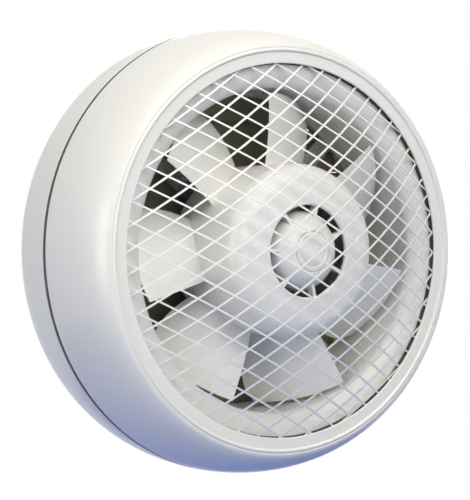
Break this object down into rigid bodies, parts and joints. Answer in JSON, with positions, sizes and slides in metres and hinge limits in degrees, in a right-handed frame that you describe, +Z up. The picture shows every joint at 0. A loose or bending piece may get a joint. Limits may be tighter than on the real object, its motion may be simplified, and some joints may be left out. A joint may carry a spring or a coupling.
{
  "type": "axial extractor fan",
  "caption": "Round wall-mounted axial extractor fan with a domed mesh guard over its impeller, a bulged drum casing and a gravity shutter behind.",
  "frame": {"origin": "centre of the wall opening that the fan covers, on the wall's plane", "axes": "+Y from the room into the wall along the fan's axis, +Z up, +X to the right seen from the room"},
  "size_m": [0.2936, 0.1325, 0.2936],
  "materials": {
    "white_plastic": "warm white moulding with a soft shine",
    "impeller_plastic": "satin white moulding",
    "painted_mesh": "satin white paint on expanded steel",
    "bright_steel": "zinc plated",
    "lamination_steel": "stacked sheets, bare",
    "cast_metal": "as cast",
    "bearing_bronze": "sintered, oiled",
    "winding_copper": "varnished copper wire",
    "shutter_plastic": "dark olive grey, matt",
    "black_rubber": "matt"
  },
  "bodies": {
    "casing": {"front_cover": "white_plastic", "inlet_ring": "white_plastic", "rear_casing": "white_plastic", "guard_mesh": "painted_mesh", "motor_bracket": "bright_steel", "shutter_frame": "shutter_plastic", "motor_front_cover": "cast_metal", "motor_rear_cover": "cast_metal", "stator_core": "lamination_steel", "stator_winding": "winding_copper", "bearing_front": "bearing_bronze", "bearing_rear": "bearing_bronze", "terminal_block": "white_plastic", "cable_grommet": "black_rubber", "frame_screw_1": "bright_steel", "motor_screw_1": "bright_steel", "frame_screw_2": "bright_steel", "motor_screw_2": "bright_steel", "frame_screw_3": "bright_steel", "motor_screw_3": "bright_steel", "frame_screw_4": "bright_steel", "motor_screw_4": "bright_steel"},
    "impeller": {"impeller": "impeller_plastic", "boss_cap": "impeller_plastic", "shaft": "bright_steel", "impeller_washer": "bright_steel", "impeller_nut": "bright_steel", "rotor": "lamination_steel"},
    "flap_1": {"flap_1": "shutter_plastic"},
    "flap_2": {"flap_2": "shutter_plastic"},
    "flap_3": {"flap_3": "shutter_plastic"},
    "flap_4": {"flap_4": "shutter_plastic"},
    "flap_5": {"flap_5": "shutter_plastic"}
  },
  "joints": [
    {"name": "impeller_spin", "type": "hinge", "parent": "casing", "child": "impeller", "pos_m": [0, -0.104, 0], "axis": [0, -1, 0], "continuous": true},
    {"name": "flap_1_swing", "type": "hinge", "parent": "casing", "child": "flap_1", "pos_m": [0, -0.0339, 0.085], "axis": [1, 0, 0], "range_deg": [0, 70]},
    {"name": "flap_2_swing", "type": "hinge", "parent": "casing", "child": "flap_2", "pos_m": [0, -0.0339, 0.051], "axis": [1, 0, 0], "range_deg": [0, 70]},
    {"name": "flap_3_swing", "type": "hinge", "parent": "casing", "child": "flap_3", "pos_m": [0, -0.0339, 0.017], "axis": [1, 0, 0], "range_deg": [0, 70]},
    {"name": "flap_4_swing", "type": "hinge", "parent": "casing", "child": "flap_4", "pos_m": [0, -0.0339, -0.017], "axis": [1, 0, 0], "range_deg": [0, 70]},
    {"name": "flap_5_swing", "type": "hinge", "parent": "casing", "child": "flap_5", "pos_m": [0, -0.0339, -0.051], "axis": [1, 0, 0], "range_deg": [0, 70]}
  ]
}
